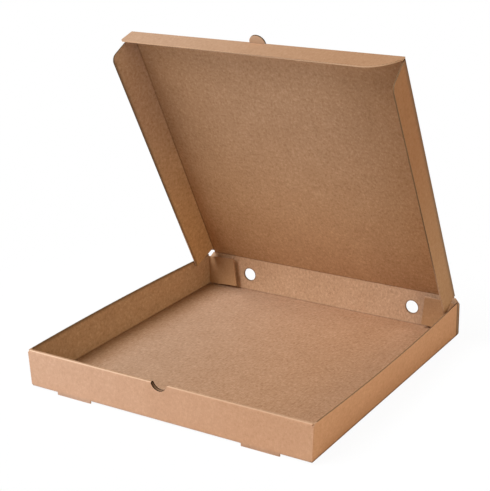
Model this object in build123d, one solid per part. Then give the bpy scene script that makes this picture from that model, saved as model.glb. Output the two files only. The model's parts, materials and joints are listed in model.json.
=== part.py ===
from build123d import *
import os
from math import asin, cos, degrees, radians, sin

# Pizza box folded from one sheet of corrugated card, standing open.
# X runs along the front wall, Y from the front wall to the rear wall, Z up.
# The origin is on the ground, under the middle of the tray.

# Driving dimensions, in millimetres and degrees

# Card and the play that folded card needs
card = 1.5
slip = 0.2
fold_gap = 0.3
fold_radius = 0.4

# Tray
tray_width = 330.0
tray_depth = 336.0
wall_height = 39.6
hinge_height = 42.5
bow_front = 2.0
bow_middle = 5.3
bow_middle_y = -40.0

# Rolled front wall
roll_inside = 0.3
corner_flap_length = 62.0
notch_width = 19.0
notch_depth = 7.8
notch_x = -3.0
foot_width = 42.0
foot_drop = 2.3
foot_spacing = 220.0

# Rear wall
vent_diameter = 15.2
vent_spacing = 215.0
vent_height = 21.5
hinge_relief_height = 7.0

# Dust flaps at the rear corners
dust_setback = 3.5
dust_flap_top_width = 38.0
dust_flap_bottom_width = 41.8
dust_flap_floor_play = 0.6
dust_flap_rise = 4.2
dust_flap_top_drop = 2.9
dust_flap_lean = 4.5

# Lid and its three flaps
lid_length = 326.4
lid_angle = 64.0
lid_side_play = 4.0
flap_floor_play = 1.2
flap_wall_play = 0.3
flap_front_cut = 4.5
flap_front_corner = 8.0
flap_rear_start = 3.0
flap_rear_step = 3.6
flap_rear_cut = 1.0
flap_taper = 4.0
front_flap_depth = 21.3
front_flap_left_angle = 80.5
front_flap_right_angle = 88.0
front_flap_overhang = 1.2
front_flap_corner = 3.5
front_flap_sweep = 40.0
front_flap_end_height = 3.0
thumb_radius = 9.2
thumb_x = -2.4

# Places that follow from the sizes above
base_z = foot_drop
floor_z = base_z + card
wall_top = base_z + wall_height
front_y = -tray_depth / 2
rear_y = tray_depth / 2
half_width = tray_width / 2
fold_outside = fold_radius + card
side_fold_outside = card - fold_radius
roll_outside = roll_inside + card
overcut = 2 * card
roll_width = 3 * card + 2 * slip
layer_y = front_y + card + slip
inner_panel_y = front_y + roll_width - card
hinge_y = rear_y - card / 2
hinge_z = base_z + hinge_height
rear_wall_top = hinge_z - card / 2 - fold_gap
dust_x = half_width - card / 2
dust_y = rear_y - card - dust_setback
side_wall_end = dust_y - card / 2 - fold_gap
lid_half = half_width - card - lid_side_play
flap_axis_x = lid_half - card
crease_z = -card / 2
flap_depth = hinge_height - 1.5 * card - flap_floor_play
flap_splay = degrees(asin((lid_side_play - flap_wall_play) / flap_depth))
front_axis_y = card - lid_length
front_flap_half = flap_axis_x + front_flap_overhang
lid_place = Pos(0, hinge_y, hinge_z) * Rot(-lid_angle, 0, 0)


def block(x, y, z):
    """Returns a box between pairs of limits along X, Y and Z."""
    middle = [(low + high) / 2 for low, high in (x, y, z)]
    return Pos(*middle) * Box(*[high - low for low, high in (x, y, z)])


def across(profile, half_length):
    """Extrudes a profile drawn in Y and Z to both sides of the middle."""
    return extrude(Plane.YZ * profile, half_length, both=True)


def base_and_rear_wall():
    """Base panel with the rear wall and the front wall's outer layer turned up at its two folds."""
    height = rear_wall_top - base_z
    outside = Pos(0, base_z + height / 2) * Rectangle(tray_depth, height)
    outside = fillet(outside.vertices().sort_by(Axis.Y)[:2], fold_outside)
    inside = Pos(0, floor_z + height / 2) * Rectangle(tray_depth - 2 * card, height)
    inside = fillet(inside.vertices().sort_by(Axis.Y)[:2], fold_radius)
    sheet = across(outside - inside, half_width - card / 2)
    above_front = block((-tray_width, tray_width), (front_y - overcut, 0), (wall_top - roll_outside, 2 * hinge_z))
    sheet -= above_front
    relief_x = half_width - lid_half
    for side in (-1, 1):
        corner = Polygon(
            (side * half_width, rear_wall_top - hinge_relief_height),
            (side * half_width, rear_wall_top),
            (side * (half_width - relief_x), rear_wall_top),
            align=None,
        )
        sheet -= Pos(0, rear_y, 0) * extrude(Plane.XZ * corner, overcut, both=True)
        vent = Pos(side * vent_spacing / 2, rear_y, base_z + vent_height) * Rot(90, 0, 0)
        sheet -= vent * Cylinder(vent_diameter / 2, 2 * overcut)
    return sheet


def leaning_ends(half_length):
    """Prism whose ends lean out with the side walls, to trim the front wall's layers."""
    outline = Polygon(
        (-half_length, base_z),
        (half_length, base_z),
        (half_length + bow_front, wall_top),
        (-half_length - bow_front, wall_top),
        align=None,
    )
    return extrude(Plane.XZ * outline, tray_depth, both=True)


def rolled_front_wall():
    """Front wall rolled over a hollow for the corner flaps, with its lock tabs standing in the base's slots."""
    length = half_width + bow_front
    low = floor_z + slip
    height = wall_top - low
    roll_middle = front_y + roll_width / 2
    outside = Pos(roll_middle, low + height / 2) * Rectangle(roll_width, height)
    outside = fillet(outside.vertices().sort_by(Axis.Y)[-2:], roll_outside)
    hollow = Pos(roll_middle, low + height / 2 - card) * Rectangle(roll_width - 2 * card, height)
    hollow = fillet(hollow.vertices().sort_by(Axis.Y)[-2:], roll_inside)
    roll = across(outside - hollow, length) & leaning_ends(half_width - card - slip)
    outer_layer = block((-length, length), (front_y, front_y + card), (base_z + fold_outside, wall_top - roll_outside))
    wall = roll + (outer_layer & leaning_ends(half_width))
    for side in (-1, 1):
        tab_x = side * foot_spacing / 2
        tab_half = foot_width / 2 - slip
        tab_y = (inner_panel_y, inner_panel_y + card)
        wall += block((tab_x - tab_half, tab_x + tab_half), tab_y, (base_z, floor_z + card))
    return wall


def notch_cut():
    """Round finger notch through both layers of the front wall."""
    radius = (notch_width**2 / 4 + notch_depth**2) / (2 * notch_depth)
    place = Pos(notch_x, front_y + roll_width / 2, wall_top - notch_depth + radius) * Rot(90, 0, 0)
    return place * Cylinder(radius, roll_width + overcut)


def strip(outer):
    """Returns the top of a wall between its outside line and the same line moved in by the card."""
    inner = Pos(-card, 0) * outer
    return make_face([outer, Line(outer @ 1, inner @ 1), inner, Line(inner @ 0, outer @ 0)])


def side_wall():
    """Right side wall: straight along its crease, bowed outwards along its top, with its trapped corner flap."""
    crease = Line((half_width, layer_y), (half_width, side_wall_end))
    bowed_top = ThreePointArc(
        (half_width + bow_front, layer_y),
        (half_width + bow_middle, bow_middle_y),
        (half_width, side_wall_end),
    )
    wall = loft([Pos(0, 0, base_z) * strip(crease), Pos(0, 0, wall_top) * strip(bowed_top)], ruled=True)
    wall = fillet(wall.faces().sort_by(Axis.Z)[0].edges().sort_by(Axis.X)[-1], side_fold_outside)
    flap = block(
        (half_width - corner_flap_length, half_width + bow_front),
        (layer_y, layer_y + card),
        (floor_z + slip, wall_top - card - slip),
    )
    return wall + (flap & leaning_ends(half_width))


def foot_slots():
    """Cuts in the base behind the feet, where the lock tabs stand."""
    slots = []
    for side in (-1, 1):
        slot_x = side * foot_spacing / 2
        slot_y = (front_y + card, front_y + roll_width + slip)
        slots.append(block((slot_x - foot_width / 2, slot_x + foot_width / 2), slot_y, (0, floor_z + slip / 2)))
    return slots


def feet():
    """Strips of the slots' card that stay in line with the front wall and stand on the ground."""
    strips = []
    for side in (-1, 1):
        foot_x = side * foot_spacing / 2
        reach = (foot_x - foot_width / 2, foot_x + foot_width / 2)
        strips.append(block(reach, (front_y, front_y + card), (0, base_z + 2 * fold_outside)))
    return strips


def base_tray():
    """Whole tray as one folded sheet."""
    tray = base_and_rear_wall()
    right = side_wall()
    tray += right
    tray += mirror(right, Plane.YZ)
    tray -= foot_slots()
    tray += feet()
    tray += rolled_front_wall()
    return tray - notch_cut()


def dust_flap():
    """Right dust flap, folded in from the side wall's rear end and standing out from the rear wall."""
    low = floor_z + dust_flap_floor_play
    high = wall_top - dust_flap_top_drop
    outline = Polygon(
        (0, low),
        (dust_flap_bottom_width, low + dust_flap_rise),
        (dust_flap_top_width, high + dust_flap_rise),
        (0, high),
        align=None,
    )
    plate = extrude(Plane.XZ * outline, card / 2, both=True)
    root = Pos(0, 0, (low + high) / 2) * Cylinder(card / 2, high - low)
    return Pos(dust_x, dust_y, 0) * Rot(0, 0, 180 + dust_flap_lean) * (plate + root)


def lid_panel():
    """Lid panel, drawn shut about its hinge line, with the rounded hinge edge and the thumb tab."""
    reach = flap_axis_x - fold_gap
    front = front_axis_y + fold_gap
    thickness = (-card / 2, card / 2)
    panel = block((-reach, reach), (front, 0), thickness)
    panel += Rot(0, 90, 0) * Cylinder(card / 2, 2 * reach)
    tab = block((thumb_x - thumb_radius, thumb_x + thumb_radius), (-lid_length, front), thickness)
    disc = Pos(thumb_x, -lid_length, 0) * Cylinder(thumb_radius, card)
    ahead = block((-lid_half, lid_half), (-2 * lid_length, front), thickness)
    return panel + tab + (disc & ahead)


def folded_section(angle, depth):
    """Section of a flap about its crease: a plate turned down by an angle, with the rounded back of the fold."""
    along = Vector(cos(radians(angle)), -sin(radians(angle)))
    out = Vector(sin(radians(angle)), cos(radians(angle)))
    tip = along * depth
    lines = [
        Line((0, 0), tip),
        Line(tip, tip + out * card),
        Line(tip + out * card, out * card),
        CenterArc((0, 0), card, 90 - angle, angle),
        Line((0, card), (0, 0)),
    ]
    return make_face(lines)


def lid_side_flap():
    """Right side flap of the lid, drawn on the shut lid and splayed until it just clears the side wall."""
    angle = 90 - flap_splay
    plate = extrude(Plane.XZ * folded_section(angle, flap_depth), lid_length)
    front = -front_axis_y - fold_gap - card / 2
    rear_tip = flap_rear_start + flap_rear_step + flap_rear_cut
    outline = Polygon(
        (flap_rear_start, -overcut),
        (front, -overcut),
        (front, 0),
        (front - flap_front_cut, flap_depth),
        (rear_tip, flap_depth - flap_taper),
        (flap_rear_start + flap_rear_step, flap_rear_step),
        (flap_rear_start, 0),
        align=None,
    )
    outline = fillet(outline.vertices().sort_by(Axis.Y)[-1], flap_front_corner)
    out = (sin(radians(angle)), 0, cos(radians(angle)))
    face = Plane(origin=(0, 0, 0), x_dir=(0, -1, 0), z_dir=out)
    trim = extrude(face * outline, flap_depth / 2, both=True)
    return Pos(flap_axis_x, 0, crease_z) * (plate & trim)


def lid_front_flap():
    """Front flap of the lid, drawn on the shut lid: twisted a little, one corner rounded, the other swept away."""
    half = front_flap_half
    sections = []
    for x, angle in ((-half, front_flap_left_angle), (half, front_flap_right_angle)):
        end = Plane(origin=(x, 0, 0), x_dir=(0, -1, 0), z_dir=(-1, 0, 0))
        sections.append(end * folded_section(angle, front_flap_depth))
    plate = loft(sections, ruled=True)
    top = -overcut
    corner = front_flap_corner
    depth = front_flap_depth
    swept = (half - front_flap_sweep, depth)
    outline = make_face(
        [
            Line((half, top), (-half, top)),
            Line((-half, top), (-half, depth - corner)),
            RadiusArc((-half, depth - corner), (-half + corner, depth), corner),
            Line((-half + corner, depth), swept),
            TangentArc(swept, (half, front_flap_end_height), tangent=(1, 0)),
            Line((half, front_flap_end_height), (half, top)),
        ]
    )
    angle = (front_flap_left_angle + front_flap_right_angle) / 2
    out = (0, -sin(radians(angle)), cos(radians(angle)))
    face = Plane(origin=(0, 0, 0), x_dir=(1, 0, 0), z_dir=out)
    trim = extrude(face * mirror(outline, Plane.XZ), depth / 2, both=True)
    thumb_half = thumb_radius + fold_gap
    thumb_root = block((thumb_x - thumb_half, thumb_x + thumb_half), (-overcut, overcut), (-fold_gap, overcut))
    return Pos(0, front_axis_y, crease_z) * ((plate & trim) - thumb_root)


tray = base_tray()
right_dust_flap = dust_flap()
right_lid_flap = lid_side_flap()

nodes = {
    "base_tray": tray,
    "rear_left_flap": mirror(right_dust_flap, Plane.YZ),
    "rear_right_flap": right_dust_flap,
    "lid": lid_place * lid_panel(),
    "lid_left_flap": lid_place * mirror(right_lid_flap, Plane.YZ),
    "lid_right_flap": lid_place * right_lid_flap,
    "lid_front_flap": lid_place * lid_front_flap(),
}

os.makedirs("parts", exist_ok=True)
for name, solid in nodes.items():
    export_step(solid, f"parts/{name}.step")
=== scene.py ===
"""Dresses the open pizza box: kraft card on its panels, paper across its moving folds, and a studio stage."""
import json
from math import asin, cos, pi, radians, sin

import bpy
from bpy.props import FloatProperty, FloatVectorProperty, IntProperty, PointerProperty
from mathutils import Matrix, Vector


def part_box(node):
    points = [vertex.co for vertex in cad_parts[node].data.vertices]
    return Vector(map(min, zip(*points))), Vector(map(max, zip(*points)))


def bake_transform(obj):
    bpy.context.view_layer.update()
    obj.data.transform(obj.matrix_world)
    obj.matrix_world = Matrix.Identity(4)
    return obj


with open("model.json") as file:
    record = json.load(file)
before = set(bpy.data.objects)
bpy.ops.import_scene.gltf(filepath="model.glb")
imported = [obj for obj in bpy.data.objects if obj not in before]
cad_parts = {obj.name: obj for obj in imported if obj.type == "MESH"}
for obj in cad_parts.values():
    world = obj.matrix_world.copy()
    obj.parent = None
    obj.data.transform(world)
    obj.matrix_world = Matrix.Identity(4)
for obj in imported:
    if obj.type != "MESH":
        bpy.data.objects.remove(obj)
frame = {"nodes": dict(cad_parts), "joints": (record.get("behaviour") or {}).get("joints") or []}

bl_info = {
    "name": "Pizza box finish",
    "version": (1, 0, 0),
    "blender": (4, 5, 0),
    "location": "3D View > Sidebar > Pizza Box",
    "description": "Gives an open pizza box its card, its creases and a plain studio stage",
    "category": "Object",
}

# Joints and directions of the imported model
JOINTS = {joint["name"]: joint for joint in frame["joints"]}
HINGE = Vector(JOINTS["lid_hinge"]["pos_m"])
FRONT_FOLD = Vector(JOINTS["lid_front_flap_fold"]["pos_m"])
LID_ANGLE = radians(-JOINTS["lid_hinge"]["range_deg"][0])
ACROSS = Vector((1, 0, 0))
BACK = Vector((0, 1, 0))
UP = Vector((0, 0, 1))
ALONG_LID = Vector((0, -cos(LID_ANGLE), sin(LID_ANGLE)))
LID_OUT = Vector((0, sin(LID_ANGLE), cos(LID_ANGLE)))

# Places on the tray in metres, with holes as X and Z of their middle
FLOOR_TOP = 0.0038
WALL_TOP = 0.0419
SIDE_WALL_FACE = 0.1635
DUST_FLAP_ROOT = (0.00445, 0.03895)
VENTS = ((0.1075, 0.0238), (-0.1075, 0.0238))
VENT_REACH = 0.0079
NOTCH = (-0.003, 0.043785)
NOTCH_REACH = 0.0099

# Distances from the front wall's face, from the rear wall's face and from the top of the tray
ROLL_DEPTH = 0.0055
SIDE_WALL_START = 0.0065
LIP_DEPTHS = (0.0018, 0.0010)
HINGE_DEPTH = 0.0045
TOP_DEPTH = 0.0045

# Sizes of the lid's flaps and of the gap that the thumb tab leaves in the front fold
FLAP_REAR = 0.00305
FLAP_EDGE = 0.03495
FLAP_TAPER = 0.01283
FLAP_DEPTH = 0.03905
FLAP_OVERHANG = 0.0037
FLAP_SPLAY = asin(FLAP_OVERHANG / FLAP_DEPTH)
FRONT_FLAP_LEAN = radians(5.75)
TAB_SLOT = (-0.0119, 0.0071)

# Distance from each panel's fold at which its cut edges start
DUST_FLAP_CUT = 0.0008
LID_CUT = 0.002
SIDE_FLAP_CUT = 0.0001
FRONT_FLAP_CUT = 0.0015

# Strength of the marks on the card
# Painted shade in the hollows of the flutes
HOLLOW_SHADE_SHARE = 0.5
# Painted shade along the creases of the panels and of the tray's floor
CREASE_SHADE_SHARE = 0.62
TRAY_CREASE_SHADE_SHARE = 0.4
WORN_SHARE = 0.3
CALM_SHARE = 0.5
RIM_SHARE = 0.7
# Strength of the darker ring round the steam holes
VENT_RING_SHARE = 0.65
# Strength of the painted shade at the side walls' rear corners
CORNER_SHADE_SHARE = 0.85
# Strength of the painted light on the thumb tab
TAB_LIGHT_SHARE = 0.75

# Share of the normal along a direction, from which or between which a face counts as turned that way
WALL_FACING = 0.7
FOLD_FACING = 0.05
UP_FACING = (0.55, 0.8)
HOLE_FACING = (0.6, 0.4)
EDGE_FACING = (0.45, 0.25)
INNER_FACING = (-0.6, -0.8)
OUTER_FACING = (0.6, 0.8)
TAB_FACING = (0.5, 0.8)
ROUND_START = (0.97, 0.9)
ROUND_END = (0.3, 0.4)

# Make-up of the paper's tone, and the tones between which it goes from dark to kraft to pale
FINE_DETAIL = 3.0
SOFT_DETAIL = 2.0
FIBRE_STRETCH = (1.0, 0.22, 0.45)
FIBRE_SCALE = 0.8
FLECK_SHARE = 0.55
FIBRE_SHARE = 0.45
FINE_TONE = 0.9
MOTTLE_TONE = 0.6
CLOUD_TONE = 0.2
RIPPLE_TONE = 0.006
TONE_SHIFT = -0.35
DARK_TONES = (0.30, 0.50)
PALE_TONES = (0.50, 0.72)

# Sheen and relief of the paper
ROUGH_TONES = (0.3, 0.7)
ROUGH_SPREAD = 0.05
SPECULAR_LEVEL = 0.1
RIPPLE_HEIGHT = 0.05
BUMP_STRENGTH = 0.22
BUMP_DISTANCE = 0.0001

# Section of the card, as shares of its thickness from the middle
CORE_SWING = 0.27
CORE_SIDES = (0.08, 0.14)
FACE_SIDES = (0.39, 0.33)

# Stage
LIGHTS = ("key", "fill", "back")
LIGHT_AIM = 0.12
FLOOR_NOISE = 3.0
FLOOR_DARKEST = 0.985
FLOOR_ROUGHNESS = 0.9
WHITE = (1.0, 1.0, 1.0, 1.0)


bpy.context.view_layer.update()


def length(name, description, default):
    """Setting for a length."""
    return FloatProperty(name=name, description=description, default=default, unit="LENGTH")


def angle(name, description, default):
    """Setting for an angle."""
    return FloatProperty(name=name, description=description, default=default, unit="ROTATION")


def power(name, description, default):
    """Setting for the power of a light."""
    return FloatProperty(name=name, description=description, default=default, unit="POWER")


def factor(name, description, default):
    """Setting between 0 and 1."""
    return FloatProperty(name=name, description=description, default=default, subtype="FACTOR", min=0, max=1)


def paint(name, description, default):
    """Setting for a colour."""
    return FloatVectorProperty(name=name, description=description, default=default, subtype="COLOR")


def tint(name, description, default):
    """Setting for a tint, by which the paper's colour is multiplied."""
    return FloatVectorProperty(
        name=name, description=description, default=default, subtype="COLOR", min=0, max=2
    )


def span(name, description, default):
    """Setting for the two places between which a tone changes."""
    return FloatVectorProperty(name=name, description=description, default=default, unit="LENGTH", size=2)


def heading(name, description, default):
    """Setting for a direction."""
    return FloatVectorProperty(name=name, description=description, default=default, subtype="DIRECTION")


class CardSettings(bpy.types.PropertyGroup):
    """Sizes and colours of the corrugated card, among them colours of painted shade and painted light."""

    thickness: length("Card thickness", "Distance between the two faces of the card", 0.0015)
    flute_pitch: length("Flute pitch", "Distance from one flute of the core to the next", 0.0034)
    fleck_size: length("Fleck size", "Size of the paper's finest flecks", 0.0011)
    mottle_size: length("Mottle size", "Size of the small blotches in the paper's tone", 0.0032)
    cloud_size: length("Cloud size", "Size of the soft clouds in the paper's tone", 0.03)
    # Width of the painted shade along a crease
    crease_shade_width: length("Score width", "Width of the pressed line beside a fold", 0.0011)
    flap_splay: angle("Flap splay", "Angle of the lid's side flaps past square", FLAP_SPLAY)
    kraft: paint("Kraft", "Mean colour of the paper", (0.47, 0.268, 0.156))
    kraft_dark: paint("Dark flecks", "Colour of the darker fibres", (0.392, 0.214, 0.118))
    kraft_pale: paint("Pale flecks", "Colour of the paler fibres", (0.558, 0.335, 0.207))
    # Painted highlight along the rolled top of the front wall, brighter at its left end
    lip_highlight_left: paint("Lip left", "Colour of the front wall's lip at its left end", (0.75, 0.5, 0.345))
    lip_highlight_right: paint("Lip right", "Colour of the front wall's lip at its right end", (0.56, 0.33, 0.21))
    # Colour of paper stretched over a fold, used too as painted highlight on the thumb tab and on the right
    # dust flap's top
    stretched_paper_and_highlight: paint("Stretched paper", "Colour of paper stretched over a fold", (0.68, 0.45, 0.3))
    # A cut edge's colour in light and in shade: painted light and painted shade
    lit_edge: paint("Lit edge", "Colour of a cut edge that stands in the light", (0.2, 0.11, 0.055))
    shaded_cut_edge: paint("Cut edge", "Colour of a cut edge", (0.12, 0.065, 0.03))
    # Painted shade inside the flutes and in the finger notch's gap
    hollow_shade: paint("Hollow flute", "Colour inside the flutes", (0.06, 0.03, 0.015))
    # Colour of the painted shade along a crease
    crease_shade_colour: paint("Score", "Colour of the pressed line beside a fold", (0.17, 0.08, 0.04))
    roughness: factor("Roughness", "Roughness of the uncoated paper", 0.86)


class TintSettings(bpy.types.PropertyGroup):
    """Painted light and shade: tints that carry the drift of light from face to face, and from one end of a
    face to the other.
    """

    # Painted light on the front wall, lighter and cooler at its left end
    front_left: tint("Front wall left", "Outside of the front wall at its left end", (1.12, 1.13, 1.25))
    front_right: tint("Front wall right", "Outside of the front wall at its right end", (0.985, 0.915, 0.905))
    # Painted shade along the front wall's foot
    front_foot_shade: tint("Front wall foot", "Outside of the front wall along its foot", (0.8, 0.84, 0.9))
    # Painted light on the side walls' outside, and painted shade along their lower fold
    side: tint("Side walls", "Outside of the side walls", (1.1, 0.97, 0.87))
    side_foot_shade: tint("Side walls foot", "Outside of the side walls at their lower fold", (0.33, 0.31, 0.3))
    # Painted light and shade inside the side walls and the rear wall, with a painted shadow beside the right
    # dust flap
    left_inside: tint("Left wall inside", "Inside of the left wall", (0.98, 1.06, 1.11))
    right_inside: tint("Right wall inside", "Inside of the right wall", (0.95, 0.94, 0.93))
    rear: tint("Rear wall", "Inside of the rear wall", (1.23, 1.29, 1.33))
    rear_right: tint("Rear wall right", "Rear wall beside the right dust flap", (0.8, 0.79, 0.79))
    # Painted light and shade on the floor, lighter at the left, with a painted shadow beside the left wall
    floor_left: tint("Floor left", "Floor of the tray at its left", (0.945, 1.0, 1.09))
    floor_right: tint("Floor right", "Floor of the tray at its right", (0.91, 0.855, 0.8))
    floor_margin_shadow: tint("Floor margin", "Floor of the tray beside the left wall", (0.66, 0.57, 0.43))
    # Painted light and shade inside the lid: lighter near the hinge, darker near the front flap and along its
    # side folds
    lid_low: tint("Lid low", "Inside of the lid near the hinge", (1.14, 1.125, 1.01))
    lid_high: tint("Lid high", "Inside of the lid near the front flap", (0.89, 0.88, 0.855))
    lid_left: tint("Lid left", "Inside of the lid along its left fold", (0.86, 0.82, 0.75))
    lid_right: tint("Lid right", "Inside of the lid along its right fold", (0.8, 0.74, 0.65))
    # Painted light and shade on the side flaps, and painted shade outside along their folds
    flap_in_low: tint("Left flap low", "Inside of the left flap near the hinge", (1.12, 1.15, 1.01))
    flap_in_high: tint("Left flap high", "Inside of the left flap near the front", (0.78, 0.795, 0.84))
    flap_out_low: tint("Flaps out low", "Outside of the side flaps near the hinge", (0.82, 0.755, 0.63))
    flap_out_high: tint("Flaps out high", "Outside of the side flaps near the front", (0.685, 0.535, 0.385))
    flap_fold: tint("Flap folds", "Outside of the side flaps along the fold", (0.58, 0.66, 0.78))
    # Painted light on the front flap, lighter and cooler at its left
    front_flap_left: tint("Front flap left", "Outside of the front flap at its left", (0.965, 1.0, 1.07))
    front_flap_right: tint("Front flap right", "Outside of the front flap at its right", (0.81, 0.755, 0.7))
    # Painted shade on the dust flaps' front, darker towards their top
    dust_flap_low: tint("Dust flaps low", "Front of the dust flaps along their foot", (0.98, 0.92, 0.75))
    dust_flap_high: tint("Dust flaps high", "Front of the dust flaps along their top", (0.86, 0.81, 0.69))
    plain: tint("Plain", "Paper in its own colour", (1.0, 1.0, 1.0))
    # Places between which the painted light and shade change
    left_to_right: span("Left to right", "Where the drift across the box starts and ends", (-0.15, 0.12))
    left_margin: span("Left margin", "Where the floor's dark left margin starts and ends", (-0.1635, -0.114))
    middle_to_side: span("Middle to side", "Where the drift to a lid fold starts and ends", (0.03, 0.16))
    hinge_to_front: span("Hinge to front", "Where the drift along the lid starts and ends", (0.03, 0.25))
    # Where the painted colour of the side flaps' cut edges starts to show, counted from the hinge
    edge_fade: span("Clean end", "Where the side flaps' cut edges start to darken and end", (0.03, 0.12))
    foot_height: span("Foot height", "Where the front wall's dark foot starts and ends", (0.0005, 0.006))
    fold_height: span("Fold height", "Where the side walls' dark lower fold starts and ends", (0.0026, 0.006))
    beside_flap: span("Beside flap", "Where the rear wall's dark right end starts and ends", (0.104, 0.124))
    # Where the painted shade at the side walls' rear corner starts and ends
    rear_corner_shade: span("Rear corner", "Where the side walls' dark rear corner starts and ends", (0.1572, 0.16))
    # Width of the painted shade outside along a flap's fold
    fold_reach: length("Fold reach", "Width of the darker paper along a flap's fold", 0.009)
    rim_width: length("Rim width", "Width of the darkened paper along a cut edge", 0.004)


class CreaseSettings(bpy.types.PropertyGroup):
    """Sizes of the paper that crosses the moving folds."""

    inset: length("Inset", "How far the crease lies below the faces of the card", 0.00003)
    bite: length("Bite", "How far the crease reaches into the card on each side", 0.0005)
    gap: length("Fold gap", "Gap between the panels at a moving fold", 0.0003)
    reach: length("Reach", "How far the crease goes on past the fold's axis", 0.00025)
    steps: IntProperty(name="Steps", description="Segments across a crease", default=10, min=2)


class StageSettings(bpy.types.PropertyGroup):
    """Camera and light of the photograph."""

    camera_place: FloatVectorProperty(
        name="Camera place",
        description="Where the camera stands",
        default=(0.66286, -1.05557, 0.57093),
        subtype="TRANSLATION",
    )
    camera_azimuth: angle("Camera azimuth", "Turn of the view about the vertical", radians(32.02))
    camera_elevation: angle("Camera elevation", "How far the camera looks down", radians(19.4))
    camera_roll: angle("Camera roll", "Turn of the view about its axis", radians(-1.21))
    lens: FloatProperty(
        name="Lens", description="Focal length of the camera", default=93.33, subtype="DISTANCE_CAMERA"
    )
    shift: FloatVectorProperty(
        name="Shift",
        description="Offset of the picture from the camera's axis, as a share of its width",
        default=(-0.0175, -0.002),
        size=2,
    )
    light_distance: length("Light distance", "Distance of each light from the box", 5.0)
    light_size: length("Light size", "Width of each soft light", 2.9)
    key_direction: heading("Key direction", "Direction towards the main light", (-0.38, -0.55, 0.74))
    key_power: power("Key power", "Power of the main light", 355.0)
    key_colour: paint("Key colour", "Colour of the main light", (0.87, 0.945, 1.0))
    fill_direction: heading("Fill direction", "Direction towards the side light", (0.9, -0.3, 0.35))
    fill_power: power("Fill power", "Power of the side light", 105.0)
    fill_colour: paint("Fill colour", "Colour of the side light", (1.0, 0.89, 0.62))
    back_direction: heading("Back direction", "Direction towards the rear light", (0.0, 0.9, 0.4))
    back_power: power("Back power", "Power of the rear light", 170.0)
    back_colour: paint("Back colour", "Colour of the rear light", (1.0, 0.97, 0.94))
    sky_strength: FloatProperty(
        name="Sky strength", description="Strength of the even light all round", default=0.05
    )
    floor_share: factor("Floor share", "How much of the floor's shadow the camera sees", 0.05)
    fade_start: length("Fade start", "Distance at which the floor starts to fade to white", 0.26)
    fade_end: length("Fade end", "Distance at which the floor has faded to white", 0.5)
    floor_size: length("Floor size", "Width of the floor", 16.0)
    floor_colour: paint("Floor colour", "Colour of the floor", (0.93, 0.93, 0.93))


class NodeSheet:
    """Short ways to add and join the nodes of one tree."""

    def __init__(self, tree):
        self.tree = tree

    def add(self, kind, *inputs, output=0, **settings):
        """Adds a node, fills its inputs in order with sockets or values, and returns one of its outputs."""
        node = self.tree.nodes.new(kind)
        for name, value in settings.items():
            setattr(node, name, value)
        for socket, value in zip(node.inputs, inputs):
            self.fill(socket, value)
        return node.outputs[output]

    def fill(self, socket, value):
        """Links a socket to another socket, or sets its value."""
        if isinstance(value, bpy.types.NodeSocket):
            self.tree.links.new(value, socket)
        else:
            socket.default_value = value

    def math(self, operation, *inputs):
        """Adds a Math node."""
        return self.add("ShaderNodeMath", *inputs, operation=operation)

    def times(self, first, *others):
        """Product of masks and shares."""
        for other in others:
            first = self.math("MULTIPLY", first, other)
        return first

    def vector(self, operation, *inputs, output=0):
        """Adds a Vector Math node."""
        return self.add("ShaderNodeVectorMath", *inputs, operation=operation, output=output)

    def dot(self, vector, direction):
        """Length of a vector along a direction."""
        return self.vector("DOT_PRODUCT", vector, tuple(direction), output="Value")

    def split(self, vector):
        """The three parts of a vector."""
        node = self.tree.nodes.new("ShaderNodeSeparateXYZ")
        self.fill(node.inputs[0], vector)
        return tuple(node.outputs)

    def ramp(self, value, low, high, start=0.0, end=1.0):
        """Smooth step of a value between two limits."""
        return self.add(
            "ShaderNodeMapRange", value, low, high, start, end, interpolation_type="SMOOTHSTEP"
        )

    def noise(self, vector, scale, detail):
        """Noise about the middle value of one half."""
        node = self.tree.nodes.new("ShaderNodeTexNoise")
        self.fill(node.inputs["Vector"], vector)
        self.fill(node.inputs["Scale"], scale)
        self.fill(node.inputs["Detail"], detail)
        return node.outputs["Fac"]

    def mix(self, share, first, second, blend="MIX"):
        """Mix of two colours."""
        node = self.tree.nodes.new("ShaderNodeMix")
        node.data_type = "RGBA"
        node.blend_type = blend
        self.fill(node.inputs["Factor"], share)
        self.fill(node.inputs["A"], first)
        self.fill(node.inputs["B"], second)
        return node.outputs["Result"]

    def shade(self, colour, value, limits, first, last, mask):
        """Tints a colour where the mask is 1, from one tint to another between two limits of a value."""
        drift = self.mix(self.ramp(value, *limits), solid(first), solid(last))
        return self.mix(mask, colour, drift, "MULTIPLY")

    def group(self, tree, **inputs):
        """Places a node group with its own values and returns its outputs by name."""
        node = self.tree.nodes.new("ShaderNodeGroup")
        node.node_tree = tree
        for name, value in inputs.items():
            self.fill(node.inputs[name.replace("_", " ")], value)
        return node.outputs


def solid(colour):
    """Colour with full alpha."""
    return (*colour, 1.0)


def new_group(name, inputs, outputs):
    """Starts a shader node group with named sockets, and returns its sheet, its inputs and its outputs.

    The inputs are vectors where their name is Position and numbers otherwise, and the outputs are numbers.
    """
    tree = bpy.data.node_groups.new(name, "ShaderNodeTree")
    for socket in inputs:
        kind = "NodeSocketVector" if socket == "Position" else "NodeSocketFloat"
        tree.interface.new_socket(socket, in_out="INPUT", socket_type=kind)
    for socket in outputs:
        tree.interface.new_socket(socket, in_out="OUTPUT", socket_type="NodeSocketFloat")
    entry = tree.nodes.new("NodeGroupInput")
    leave = tree.nodes.new("NodeGroupOutput")
    return NodeSheet(tree), entry.outputs, leave.inputs


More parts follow.
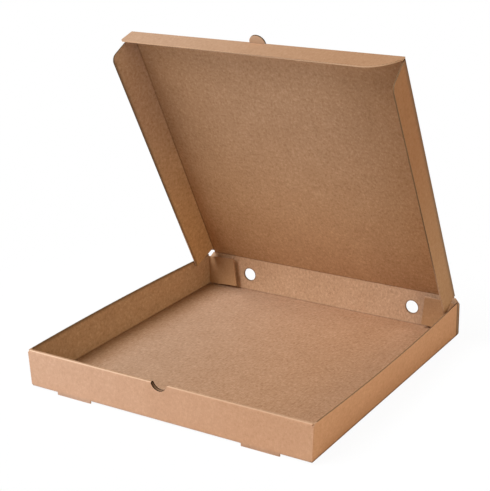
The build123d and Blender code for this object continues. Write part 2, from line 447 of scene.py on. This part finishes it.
def paper_fibre_group():
    """Tone and height of uncoated paper: flecks, short fibres, small blotches and soft clouds."""
    sheet, given, result = new_group(
        "paper fibre", ("Position", "Fleck Size", "Mottle Size", "Cloud Size"), ("Tone", "Height")
    )
    position = given["Position"]
    fleck_scale = sheet.math("DIVIDE", 1.0, given["Fleck Size"])
    fleck = sheet.noise(position, fleck_scale, FINE_DETAIL)
    stretched = sheet.vector("MULTIPLY", position, FIBRE_STRETCH)
    fibre = sheet.noise(stretched, sheet.times(fleck_scale, FIBRE_SCALE), SOFT_DETAIL)
    mottle = sheet.noise(position, sheet.math("DIVIDE", 1.0, given["Mottle Size"]), SOFT_DETAIL)
    cloud = sheet.noise(position, sheet.math("DIVIDE", 1.0, given["Cloud Size"]), SOFT_DETAIL)
    fine = sheet.math("ADD", sheet.times(fleck, FLECK_SHARE), sheet.times(fibre, FIBRE_SHARE))
    tone = sheet.math("MULTIPLY_ADD", fine, FINE_TONE, TONE_SHIFT)
    tone = sheet.math("MULTIPLY_ADD", mottle, MOTTLE_TONE, tone)
    tone = sheet.math("MULTIPLY_ADD", cloud, CLOUD_TONE, tone)
    sheet.fill(result["Tone"], tone)
    sheet.fill(result["Height"], fine)
    return sheet.tree


def washboard_group():
    """Faint ripple that the flutes of the core leave on the faces of the card."""
    sheet, given, result = new_group("washboard", ("Across Flutes", "Pitch"), ("Ripple",))
    turns = sheet.math("DIVIDE", given["Across Flutes"], given["Pitch"])
    sheet.fill(result["Ripple"], sheet.math("SINE", sheet.times(turns, 2 * pi)))
    return sheet.tree


def flute_section_group():
    """Section of corrugated card: 1 in the hollows between the wavy core and the faces, 0 in the paper."""
    sheet, given, result = new_group(
        "flute section", ("Depth", "Across Flutes", "Pitch", "Thickness"), ("Hollow",)
    )
    depth = sheet.math("DIVIDE", given["Depth"], given["Thickness"])
    turns = sheet.math("DIVIDE", given["Across Flutes"], given["Pitch"])
    core = sheet.times(sheet.math("SINE", sheet.times(turns, 2 * pi)), CORE_SWING)
    off_core = sheet.ramp(sheet.math("ABSOLUTE", sheet.math("SUBTRACT", depth, core)), *CORE_SIDES)
    off_faces = sheet.ramp(sheet.math("ABSOLUTE", depth), *FACE_SIDES)
    sheet.fill(result["Hollow"], sheet.times(off_core, off_faces))
    return sheet.tree


def card_groups():
    """The three shared effects, built once."""
    makers = {
        "paper fibre": paper_fibre_group,
        "washboard": washboard_group,
        "flute section": flute_section_group,
    }
    for name, make in makers.items():
        if name not in bpy.data.node_groups:
            make()
    return {name: bpy.data.node_groups[name] for name in makers}


def start_card_material(name, flute_direction):
    """Begins a kraft card material, and returns it with its sheet, position, normal and paper colour."""
    card = bpy.context.scene.pizza_card
    groups = card_groups()
    material = bpy.data.materials.new(name)
    material.use_nodes = True
    sheet = NodeSheet(material.node_tree)
    place = sheet.tree.nodes.new("ShaderNodeTexCoord")
    position = place.outputs["Object"]
    paper = sheet.group(
        groups["paper fibre"],
        Position=position,
        Fleck_Size=card.fleck_size,
        Mottle_Size=card.mottle_size,
        Cloud_Size=card.cloud_size,
    )
    across = sheet.dot(position, flute_direction)
    ripple = sheet.group(groups["washboard"], Across_Flutes=across, Pitch=card.flute_pitch)["Ripple"]
    tone = sheet.math("ADD", paper["Tone"], sheet.times(ripple, RIPPLE_TONE))
    colour = sheet.mix(sheet.ramp(tone, *DARK_TONES), solid(card.kraft_dark), solid(card.kraft))
    colour = sheet.mix(sheet.ramp(tone, *PALE_TONES), colour, solid(card.kraft_pale))
    shader = sheet.tree.nodes["Principled BSDF"]
    shader.inputs["Specular IOR Level"].default_value = SPECULAR_LEVEL
    roughest = card.roughness + ROUGH_SPREAD
    smoothest = card.roughness - ROUGH_SPREAD
    sheet.fill(shader.inputs["Roughness"], sheet.ramp(tone, *ROUGH_TONES, roughest, smoothest))
    bump = sheet.tree.nodes.new("ShaderNodeBump")
    bump.inputs["Strength"].default_value = BUMP_STRENGTH
    bump.inputs["Distance"].default_value = BUMP_DISTANCE
    height = sheet.math("ADD", paper["Height"], sheet.times(ripple, RIPPLE_HEIGHT))
    sheet.fill(bump.inputs["Height"], height)
    sheet.fill(shader.inputs["Normal"], bump.outputs["Normal"])
    return material, sheet, position, place.outputs["Normal"], colour


def end_card_material(material, sheet, colour):
    """Joins the finished colour to the shader."""
    sheet.fill(sheet.tree.nodes["Principled BSDF"].inputs["Base Color"], colour)
    return material


def panel_material(
    name, point, out, flute_direction, away, edge_start, edge_colour, shades=(), bands=(), edge_fade=None
):
    """Card of one flat panel: paper on its faces, and the flutes in section on its cut edges, with painted
    shade in their hollows.

    The point lies in the middle of the card, and the flutes show only past edge_start, along the direction
    away from the fold. Each shade is a face, a direction, limits along it and two tints of painted light or
    shade. Each band is a face, a direction, limits along it, a share and a colour. The edge fade is a
    direction and limits along it, before which cut edges keep the colour of the paper, without the painted
    edge colour.
    """
    card = bpy.context.scene.pizza_card
    material, sheet, position, normal, colour = start_card_material(name, flute_direction)
    depth = sheet.math("SUBTRACT", sheet.dot(position, out), Vector(point).dot(out))
    reach = sheet.math("SUBTRACT", sheet.dot(position, away), Vector(point).dot(away))
    hollow_shade = sheet.group(
        card_groups()["flute section"],
        Depth=depth,
        Across_Flutes=sheet.dot(position, flute_direction),
        Pitch=card.flute_pitch,
        Thickness=card.thickness,
    )["Hollow"]
    facing = sheet.dot(normal, out)
    on_edge = sheet.ramp(sheet.math("ABSOLUTE", facing), *EDGE_FACING)
    edge = sheet.times(on_edge, sheet.math("GREATER_THAN", reach, edge_start))
    # Towards the hinge the cut edges keep the paper's colour, without the painted edge colour
    if edge_fade:
        direction, limits = edge_fade
        edge = sheet.times(edge, sheet.ramp(sheet.dot(position, direction), *limits))
    faces = {"inner": sheet.ramp(facing, *INNER_FACING), "outer": sheet.ramp(facing, *OUTER_FACING)}
    colour = sheet.mix(sheet.times(faces["outer"], CALM_SHARE), colour, solid(card.kraft))
    for face, direction, limits, first, last in shades:
        colour = sheet.shade(colour, sheet.dot(position, direction), limits, first, last, faces[face])
    for face, direction, limits, share, band_colour in bands:
        band = sheet.times(sheet.ramp(sheet.dot(position, direction), *limits), faces[face], share)
        colour = sheet.mix(band, colour, solid(band_colour))
    worn = sheet.times(sheet.ramp(facing, *ROUND_START), sheet.ramp(facing, *ROUND_END), WORN_SHARE)
    colour = sheet.mix(worn, colour, solid(card.stretched_paper_and_highlight))
    # Cut edges take the panel's edge colour: painted shade or painted light, as the edge lies in shade or in
    # light
    colour = sheet.mix(edge, colour, solid(edge_colour))
    # Painted shade in the hollows of the flutes on the cut edges
    colour = sheet.mix(sheet.times(hollow_shade, edge, HOLLOW_SHADE_SHARE), colour, solid(card.hollow_shade))
    return end_card_material(material, sheet, colour)


def crease_shade_band(direction, limit):
    """Band of painted shade in the crease beside a fold, ending at a limit on the inner face of a panel."""
    card = bpy.context.scene.pizza_card
    limits = (limit - card.crease_shade_width, limit - card.crease_shade_width / 2)
    return "inner", direction, limits, CREASE_SHADE_SHARE, card.crease_shade_colour


def plain_card_material(name):
    """Card with no cut edge in view, for the paper across the folds."""
    material, sheet, *_, colour = start_card_material(name, ACROSS)
    return end_card_material(material, sheet, colour)


class TrayFaces:
    """Masks of the tray's faces, from the place and the normal of each point."""

    def __init__(self, sheet, place, normal):
        card = bpy.context.scene.pizza_card
        low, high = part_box("base_tray")
        x, y, z = place
        normal_x, normal_y, normal_z = sheet.split(normal)
        upward = sheet.ramp(normal_z, *UP_FACING)
        forward = sheet.math("LESS_THAN", normal_y, -WALL_FACING)
        backward = sheet.math("GREATER_THAN", normal_y, WALL_FACING)
        outward = sheet.times(sheet.math("SIGN", x), normal_x)
        near_top = sheet.math("GREATER_THAN", z, high.z - TOP_DEPTH)
        near_floor = sheet.math("LESS_THAN", z, FLOOR_TOP + card.thickness)
        behind_roll = sheet.math("GREATER_THAN", y, low.y + SIDE_WALL_START)
        before_hinge = sheet.math("LESS_THAN", y, high.y - HINGE_DEPTH)
        on_side_wall = sheet.math("GREATER_THAN", sheet.math("ABSOLUTE", x), SIDE_WALL_FACE)
        on_front_wall = sheet.math("LESS_THAN", y, low.y + card.thickness)
        on_lip = sheet.ramp(y, *(low.y + depth for depth in LIP_DEPTHS))
        self.on_roll = sheet.math("LESS_THAN", y, low.y + ROLL_DEPTH)
        self.on_rear_wall = sheet.math("GREATER_THAN", y, high.y - 2 * card.thickness)
        self.side_outside = sheet.times(sheet.math("GREATER_THAN", outward, WALL_FACING), on_side_wall)
        self.side_fold = sheet.times(sheet.math("GREATER_THAN", outward, FOLD_FACING), on_side_wall)
        self.side_inside = sheet.math("LESS_THAN", outward, -WALL_FACING)
        self.side_top = sheet.times(upward, near_top, behind_roll, before_hinge)
        self.front_outside = sheet.times(forward, on_front_wall)
        self.rear_inside = sheet.times(forward, self.on_rear_wall)
        self.rear_outside = sheet.times(backward, self.on_rear_wall)
        self.floor = sheet.times(upward, near_floor)
        self.lip = sheet.times(upward, on_lip, near_top)
        self.in_hole = sheet.ramp(sheet.math("ABSOLUTE", normal_y), *HOLE_FACING)


def tray_tones(sheet, colour, place, faces):
    """Tints the faces of the tray with painted light and shade, paints shade at the side walls' rear corners,
    darkens a rim along the side walls' tops, and paints a highlight on the front wall's lip.
    """
    card = bpy.context.scene.pizza_card
    tints = bpy.context.scene.pizza_tints
    x, y, z = place
    outside = sheet.math("MAXIMUM", faces.front_outside, faces.side_outside)
    outside = sheet.math("MAXIMUM", outside, faces.rear_outside)
    colour = sheet.mix(sheet.times(outside, CALM_SHARE), colour, solid(card.kraft))
    # Painted light on the side walls' outside and inside the rear wall
    for face, face_tint in ((faces.side_outside, tints.side), (faces.rear_inside, tints.rear)):
        colour = sheet.mix(face, colour, solid(face_tint), "MULTIPLY")
    # Painted light and shade drifting over the faces, painted shadow beside the right dust flap and the left
    # wall, and painted shade along the walls' feet
    for value, limits, first, last, face in (
        (x, tints.beside_flap, tints.plain, tints.rear_right, faces.rear_inside),
        (z, tints.fold_height, tints.side_foot_shade, tints.plain, faces.side_fold),
        (x, tints.left_to_right, tints.left_inside, tints.right_inside, faces.side_inside),
        (x, tints.left_to_right, tints.front_left, tints.front_right, faces.front_outside),
        (z, tints.foot_height, tints.front_foot_shade, tints.plain, faces.front_outside),
        (x, tints.left_to_right, tints.floor_left, tints.floor_right, faces.floor),
        (x, tints.left_margin, tints.floor_margin_shadow, tints.plain, faces.floor),
    ):
        colour = sheet.shade(colour, value, limits, first, last, face)
    # Painted shade at the side walls' rear corner, and a dark rim along the inside of the side walls' tops
    corner = sheet.times(sheet.ramp(y, *tints.rear_corner_shade), faces.side_outside, CORNER_SHADE_SHARE)
    rim = sheet.times(sheet.ramp(z, WALL_TOP - tints.rim_width, WALL_TOP), faces.side_inside, RIM_SHARE)
    for mark in (corner, rim):
        colour = sheet.mix(mark, colour, solid(card.shaded_cut_edge))
    # Painted highlight on the front wall's lip, from bright at the left to darker at the right
    lip = sheet.mix(sheet.ramp(x, *tints.left_to_right), solid(card.lip_highlight_left), solid(card.lip_highlight_right))
    return sheet.mix(faces.lip, colour, lip)


def distance_from(sheet, position, middle):
    """Distance from the axis of a hole that runs through the front or the rear wall."""
    offset = sheet.vector("SUBTRACT", position, (middle[0], 0, middle[1]))
    flat = sheet.vector("MULTIPLY", offset, (1, 0, 1))
    return sheet.vector("LENGTH", flat, output="Value")


def tray_edges(sheet, colour, position, x, faces):
    """Paints the cut edges on the side walls' tops and in the steam holes, shaded on the left and lit on the
    right, darkens a ring round each steam hole, and paints shade in the finger notch.
    """
    card = bpy.context.scene.pizza_card
    edge = faces.side_top
    for vent in VENTS:
        radius = distance_from(sheet, position, vent)
        near = sheet.math("LESS_THAN", radius, VENT_REACH)
        edge = sheet.math("MAXIMUM", edge, sheet.times(near, faces.on_rear_wall, faces.in_hole))
        # Darker ring round each steam hole on the rear wall's inside, in the lit edge colour
        vent_ring = sheet.ramp(radius, VENT_REACH + card.thickness, VENT_REACH)
        vent_ring = sheet.times(vent_ring, faces.rear_inside, VENT_RING_SHARE)
        colour = sheet.mix(vent_ring, colour, solid(card.lit_edge))
    near = sheet.math("LESS_THAN", distance_from(sheet, position, NOTCH), NOTCH_REACH)
    notch = sheet.times(near, faces.on_roll, faces.in_hole)
    # Cut edges take the shaded colour on the left and the lit colour on the right: painted shade and painted
    # light
    at_right = sheet.math("GREATER_THAN", x, 0.0)
    colour = sheet.mix(edge, colour, sheet.mix(at_right, solid(card.shaded_cut_edge), solid(card.lit_edge)))
    # Painted shade in the gap between the layers at the finger notch
    return sheet.mix(notch, colour, solid(card.hollow_shade))


def tray_crease_shades(sheet, colour, place):
    """Paints shade along the creases on the floor of the tray, beside the rear wall and the side walls."""
    card = bpy.context.scene.pizza_card
    x, y, z = place
    low_down = sheet.math("LESS_THAN", z, FLOOR_TOP + card.crease_shade_width)
    rear_wall_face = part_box("base_tray")[1].y - card.thickness
    for distance, face in ((y, rear_wall_face), (sheet.math("ABSOLUTE", x), SIDE_WALL_FACE)):
        shaded = sheet.ramp(distance, face - card.crease_shade_width, face - card.crease_shade_width / 2)
        before_wall = sheet.math("LESS_THAN", distance, face + card.thickness / 4)
        mark = sheet.times(shaded, before_wall, low_down, TRAY_CREASE_SHADE_SHARE)
        colour = sheet.mix(mark, colour, solid(card.crease_shade_colour))
    return colour


def tray_material():
    """Card of the tray, with painted light and shade on its faces and cut edges, and painted shade along its
    creases.
    """
    material, sheet, position, normal, colour = start_card_material("kraft tray card", ACROSS)
    place = sheet.split(position)
    faces = TrayFaces(sheet, place, normal)
    colour = tray_tones(sheet, colour, place, faces)
    colour = tray_edges(sheet, colour, position, place[0], faces)
    colour = tray_crease_shades(sheet, colour, place)
    return end_card_material(material, sheet, colour)


def dress(node, material):
    """Puts a material in every slot of a CAD node."""
    piece = frame["nodes"][node]
    if not piece.material_slots:
        piece.data.materials.append(material)
    for slot in piece.material_slots:
        slot.material = material


class PIZZA_OT_tray_card(bpy.types.Operator):
    """Finishes the tray and its two dust flaps in kraft card"""

    bl_idname = "pizza.tray_card"
    bl_label = "Tray card"

    def execute(self, context):
        card = context.scene.pizza_card
        tints = context.scene.pizza_tints
        dress("base_tray", tray_material())
        for side, name in ((-1, "rear_left_flap"), (1, "rear_right_flap")):
            low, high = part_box(name)
            lean = asin((high.y - low.y - card.thickness) / (high.x - low.x))
            out = Vector((side * sin(lean), -cos(lean), 0))
            # Painted shade on the dust flaps' front, darker towards the top
            shades = (("outer", UP, (low.z, high.z), tints.dust_flap_low, tints.dust_flap_high),)
            # Pale band along the right dust flap's top: painted highlight of its lit top edge, and scuffed
            # paper
            scuffed_and_lit_top = ("outer", UP, (high.z - 2 * card.thickness, high.z), RIM_SHARE, card.stretched_paper_and_highlight)
            material = panel_material(
                "kraft " + name,
                JOINTS[name + "_swing"]["pos_m"],
                out,
                UP,
                -side * ACROSS,
                DUST_FLAP_CUT,
                # Pale cut edges on the dust flaps: painted light
                card.kraft_pale,
                shades,
                (scuffed_and_lit_top,) if side > 0 else (),
            )
            dress(name, material)
        return {"FINISHED"}


def from_hinge(limits):
    """Limits that count from the hinge, as places along the lid."""
    return tuple(HINGE.dot(ALONG_LID) + limit for limit in limits)


def paint_tab_light(material):
    """Paints the thumb tab, past the front fold, paler than the lid: painted light, as the bent tab catches
    more light than the lid.
    """
    card = bpy.context.scene.pizza_card
    sheet = NodeSheet(material.node_tree)
    place = sheet.tree.nodes.new("ShaderNodeTexCoord")
    tab_start = FRONT_FOLD.dot(ALONG_LID)
    along = sheet.dot(place.outputs["Object"], ALONG_LID)
    on_tab = sheet.ramp(along, tab_start, tab_start + card.thickness)
    facing = sheet.math("ABSOLUTE", sheet.dot(place.outputs["Normal"], LID_OUT))
    pale = sheet.times(on_tab, sheet.ramp(facing, *TAB_FACING), TAB_LIGHT_SHARE)
    base = sheet.tree.nodes["Principled BSDF"].inputs["Base Color"]
    sheet.fill(base, sheet.mix(pale, base.links[0].from_socket, solid(card.stretched_paper_and_highlight)))


class PIZZA_OT_lid_card(bpy.types.Operator):
    """Finishes the lid and its three flaps in kraft card"""

    bl_idname = "pizza.lid_card"
    bl_label = "Lid card"

    def execute(self, context):
        card = context.scene.pizza_card
        tints = context.scene.pizza_tints
        gap = context.scene.pizza_crease.gap
        self.lid(card, tints, gap)
        self.side_flap("lid_left_flap", -1, card, tints, gap)
        self.side_flap("lid_right_flap", 1, card, tints, gap)
        self.front_flap(card, tints)
        return {"FINISHED"}

    def lid(self, card, tints, gap):
        """Lid panel with painted shade along its four folds' creases, painted light and shade over its
        inside, and painted light on the thumb tab.
        """
        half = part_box("lid")[1].x
        # Painted light and shade over the lid's inside
        shades = (
            ("inner", ALONG_LID, from_hinge(tints.hinge_to_front), tints.lid_low, tints.lid_high),
            ("inner", -ACROSS, tints.middle_to_side, tints.plain, tints.lid_left),
            ("inner", ACROSS, tints.middle_to_side, tints.plain, tints.lid_right),
        )
        # Painted shade along the creases of the lid's four folds
        bands = (
            crease_shade_band(ACROSS, half),
            crease_shade_band(-ACROSS, half),
            crease_shade_band(ALONG_LID, FRONT_FOLD.dot(ALONG_LID) - gap),
            crease_shade_band(-ALONG_LID, -HINGE.dot(ALONG_LID)),
        )
        # The lid's cut edges take the shaded edge colour: painted shade
        material = panel_material(
            "kraft lid card", HINGE, LID_OUT, ACROSS, ALONG_LID, LID_CUT, card.shaded_cut_edge, shades, bands
        )
        # Painted light on the thumb tab
        paint_tab_light(material)
        dress("lid", material)

    def side_flap(self, name, side, card, tints, gap):
        """Side flap with painted light and shade over its faces, painted shade along its fold's crease and
        outside along its fold, and a dark rim along its cut edge.
        """
        out = side * cos(card.flap_splay) * ACROSS + sin(card.flap_splay) * LID_OUT
        down = side * sin(card.flap_splay) * ACROSS - cos(card.flap_splay) * LID_OUT
        fold = Vector(JOINTS[name + "_fold"]["pos_m"])
        fold_place = fold.dot(down)
        fold_limits = (fold_place, fold_place + tints.fold_reach)
        to_edge = down - FLAP_TAPER * ALONG_LID
        edge_place = fold_place + FLAP_EDGE - FLAP_TAPER * HINGE.dot(ALONG_LID)
        rim_limits = (edge_place - tints.rim_width, edge_place)
        along = from_hinge(tints.hinge_to_front)
        # The left flap's cut edge takes the shaded colour and the right flap's the lit one: painted shade and
        # painted light
        if side < 0:
            inside = (tints.flap_in_low, tints.flap_in_high)
            edge_colour = card.shaded_cut_edge
        else:
            inside = (tints.lid_low, tints.lid_high)
            edge_colour = card.lit_edge
        # Painted light and shade along the flap, and painted shade outside along its fold
        shades = (
            ("inner", ALONG_LID, along, *inside),
            ("outer", ALONG_LID, along, tints.flap_out_low, tints.flap_out_high),
            ("outer", down, fold_limits, tints.flap_fold, tints.plain),
        )
        bands = (
            # Painted shade along the crease of the flap's fold
            crease_shade_band(-down, gap - fold_place),
            ("inner", to_edge, rim_limits, RIM_SHARE, card.shaded_cut_edge),
        )
        middle = fold + out * card.thickness / 2
        edge_fade = (ALONG_LID, from_hinge(tints.edge_fade))
        material = panel_material(
            "kraft " + name, middle, out, down, down, SIDE_FLAP_CUT, edge_colour, shades, bands, edge_fade
        )
        dress(name, material)

    def front_flap(self, card, tints):
        """Front flap, taken as flat at the mean of its twist."""
        out = cos(FRONT_FLAP_LEAN) * ALONG_LID + sin(FRONT_FLAP_LEAN) * LID_OUT
        down = sin(FRONT_FLAP_LEAN) * ALONG_LID - cos(FRONT_FLAP_LEAN) * LID_OUT
        middle = FRONT_FOLD + out * card.thickness / 2
        # Painted light over the front flap, lighter and cooler at the left
        shades = (("outer", ACROSS, tints.left_to_right, tints.front_flap_left, tints.front_flap_right),)
        material = panel_material(
            # The front flap's cut edges take the pale kraft colour: painted light on edges that face the
            # light
            "kraft lid front flap", middle, out, ACROSS, down, FRONT_FLAP_CUT, card.kraft_pale, shades
        )
        dress("lid_front_flap", material)


def strip(name, corner, long_way, thick_way, step_way, steps):
    """Models a strip of card as by hand: one end as a plane, drawn out in equal steps into a closed bar."""
    bpy.ops.object.select_all(action="DESELECT")
    bpy.ops.mesh.primitive_plane_add(size=1)
    piece = bpy.context.object
    piece.name = name
    turn = Matrix((long_way, thick_way, long_way.cross(thick_way))).transposed().to_4x4()
    piece.matrix_world = Matrix.Translation(corner + long_way / 2 + thick_way / 2) @ turn
    bpy.ops.object.transform_apply(location=True, rotation=True, scale=True)
    bpy.ops.object.mode_set(mode="EDIT")
    bpy.ops.mesh.select_all(action="SELECT")
    for _ in range(steps):
        bpy.ops.mesh.extrude_region_move(TRANSFORM_OT_translate={"value": step_way / steps})
    bpy.ops.mesh.select_all(action="SELECT")
    bpy.ops.mesh.normals_make_consistent(inside=False)
    bpy.ops.object.mode_set(mode="OBJECT")
    return piece


class PIZZA_OT_creases(bpy.types.Operator):
    """Models the paper that crosses each moving fold, as strips of card across the fold gaps"""

    bl_idname = "pizza.creases"
    bl_label = "Creases"

    def execute(self, context):
        card = context.scene.pizza_card
        crease = context.scene.pizza_crease
        material = plain_card_material("kraft crease")
        thick = card.thickness - 2 * crease.inset

        def add(name, start, long_way, thick_way, across_fold, reach):
            """Strip from inside the parent's edge across the fold towards the child, drawn out in equal
            steps.
            """
            corner = start - across_fold * crease.bite - thick_way * thick / 2
            step = across_fold * (crease.bite + reach)
            piece = strip(name, corner, long_way, thick_way * thick, step, crease.steps)
            piece.data.materials.append(material)
            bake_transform(piece)

        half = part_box("lid")[1].x
        wall_top = HINGE.z - card.thickness / 2 - crease.gap
        start = Vector((-half, HINGE.y, wall_top))
        add("hinge_crease", start, ACROSS * 2 * half, BACK, UP, HINGE.z - wall_top)
        over_axis = crease.gap + crease.reach
        front_fold = FRONT_FOLD + LID_OUT * card.thickness / 2
        front_edge = (front_fold - HINGE).dot(ALONG_LID) - crease.gap
        flap_front = front_edge - card.thickness / 2
        for side, name in ((-1, "left"), (1, "right")):
            start = HINGE + ACROSS * side * half + ALONG_LID * FLAP_REAR
            long_way = ALONG_LID * (flap_front - FLAP_REAR)
            flap = "lid_" + name + "_flap"
            add(flap + "_crease", start, long_way, LID_OUT, ACROSS * side, over_axis)
        for name, first, last in (("left", -half, TAB_SLOT[0]), ("right", TAB_SLOT[1], half)):
            start = HINGE + ACROSS * first + ALONG_LID * front_edge
            piece = "lid_front_" + name + "_crease"
            long_way = ACROSS * (last - first)
            add(piece, start, long_way, LID_OUT, ALONG_LID, over_axis)
        wall_end = card.thickness / 2 + crease.gap
        for side, name in ((-1, "left"), (1, "right")):
            flap = "rear_" + name + "_flap"
            axis = Vector(JOINTS[flap + "_swing"]["pos_m"])
            start = Vector((axis.x, axis.y - wall_end, DUST_FLAP_ROOT[0]))
            long_way = UP * (DUST_FLAP_ROOT[1] - DUST_FLAP_ROOT[0])
            add(flap + "_crease", start, long_way, ACROSS * side, BACK, wall_end)
        return {"FINISHED"}


class PIZZA_OT_stage(bpy.types.Operator):
    """Sets up the floor, the soft studio light and the photograph's camera"""

    bl_idname = "pizza.stage"
    bl_label = "Stage"

    def execute(self, context):
        stage = context.scene.pizza_stage
        self.floor(stage)
        self.lights(context, stage)
        self.world(context, stage)
        self.camera(context, stage)
        context.scene.view_settings.view_transform = "Standard"
        return {"FINISHED"}

    def floor(self, stage):
        """Plain pale floor that fades to white round the box, as on a studio sweep."""
        bpy.ops.object.select_all(action="DESELECT")
        bpy.ops.mesh.primitive_plane_add(size=stage.floor_size)
        floor = bpy.context.object
        floor.name = "floor"
        material = bpy.data.materials.new("pale floor")
        material.use_nodes = True
        sheet = NodeSheet(material.node_tree)
        place = sheet.tree.nodes.new("ShaderNodeTexCoord").outputs["Object"]
        tone = sheet.noise(place, FLOOR_NOISE, SOFT_DETAIL)
        darkest = tuple(FLOOR_DARKEST * value for value in stage.floor_colour)
        colour = sheet.mix(tone, solid(darkest), solid(stage.floor_colour))
        shader = sheet.tree.nodes["Principled BSDF"]
        sheet.fill(shader.inputs["Base Color"], colour)
        shader.inputs["Roughness"].default_value = FLOOR_ROUGHNESS
        distance = sheet.vector("LENGTH", place, output="Value")
        near = sheet.ramp(distance, stage.fade_end, stage.fade_start)
        seen = sheet.add("ShaderNodeLightPath", output="Is Camera Ray")
        unseen = sheet.math("SUBTRACT", 1.0, seen)
        alpha = sheet.math("MAXIMUM", sheet.times(near, stage.floor_share), unseen)
        sheet.fill(shader.inputs["Alpha"], alpha)
        floor.data.materials.append(material)

    def lights(self, context, stage):
        """Three soft lights that face the box."""
        for name in LIGHTS:
            lamp = bpy.data.lights.new(name + " light", "AREA")
            lamp.energy = getattr(stage, name + "_power")
            lamp.color = getattr(stage, name + "_colour")
            lamp.size = stage.light_size
            light = bpy.data.objects.new(name + " light", lamp)
            context.scene.collection.objects.link(light)
            direction = Vector(getattr(stage, name + "_direction")).normalized()
            light.location = UP * LIGHT_AIM + direction * stage.light_distance
            light.rotation_euler = direction.to_track_quat("Z", "Y").to_euler()

    def world(self, context, stage):
        """World that is white to the camera and only faint as a light."""
        world = bpy.data.worlds.new("even light")
        world.use_nodes = True
        sheet = NodeSheet(world.node_tree)
        faint = world.node_tree.nodes["Background"]
        faint.inputs["Color"].default_value = WHITE
        faint.inputs["Strength"].default_value = stage.sky_strength
        white = sheet.add("ShaderNodeBackground", WHITE, 1.0)
        seen = sheet.add("ShaderNodeLightPath", output="Is Camera Ray")
        both = sheet.add("ShaderNodeMixShader", seen, faint.outputs[0], white)
        sheet.fill(world.node_tree.nodes["World Output"].inputs["Surface"], both)
        context.scene.world = world

    def camera(self, context, stage):
        """Camera fitted to the box's corners in the photograph."""
        lens = bpy.data.cameras.new("photo camera")
        lens.lens = stage.lens
        lens.shift_x, lens.shift_y = stage.shift
        camera = bpy.data.objects.new("photo camera", lens)
        context.scene.collection.objects.link(camera)
        azimuth = stage.camera_azimuth
        elevation = stage.camera_elevation
        roll = stage.camera_roll
        back = Vector((sin(azimuth) * cos(elevation), -cos(azimuth) * cos(elevation), sin(elevation)))
        right = Vector((cos(azimuth), sin(azimuth), 0))
        up = back.cross(right)
        turned_right = cos(roll) * right + sin(roll) * up
        turned_up = cos(roll) * up - sin(roll) * right
        turn = Matrix((turned_right, turned_up, back)).transposed().to_4x4()
        camera.matrix_world = Matrix.Translation(stage.camera_place) @ turn
        context.scene.camera = camera


class PIZZA_PT_panel(bpy.types.Panel):
    """Lists the steps that finish the pizza box"""

    bl_label = "Pizza Box"
    bl_idname = "PIZZA_PT_panel"
    bl_space_type = "VIEW_3D"
    bl_region_type = "UI"
    bl_category = "Pizza Box"

    def draw(self, context):
        for operator in STEPS:
            self.layout.operator(operator.bl_idname)


STEPS = (PIZZA_OT_tray_card, PIZZA_OT_lid_card, PIZZA_OT_creases, PIZZA_OT_stage)
SETTINGS = {
    "pizza_card": CardSettings,
    "pizza_tints": TintSettings,
    "pizza_crease": CreaseSettings,
    "pizza_stage": StageSettings,
}


def register():
    """Registers the settings, the operators and the panel."""
    for name, settings in SETTINGS.items():
        bpy.utils.register_class(settings)
        setattr(bpy.types.Scene, name, PointerProperty(type=settings))
    for item in (*STEPS, PIZZA_PT_panel):
        bpy.utils.register_class(item)


def unregister():
    """Takes back what register did."""
    for item in (PIZZA_PT_panel, *reversed(STEPS)):
        bpy.utils.unregister_class(item)
    for name, settings in SETTINGS.items():
        delattr(bpy.types.Scene, name)
        bpy.utils.unregister_class(settings)


def main():
    """Runs every step in order."""
    register()
    bpy.ops.pizza.tray_card()
    bpy.ops.pizza.lid_card()
    bpy.ops.pizza.creases()
    bpy.ops.pizza.stage()


if __name__ == "__main__":
    main()
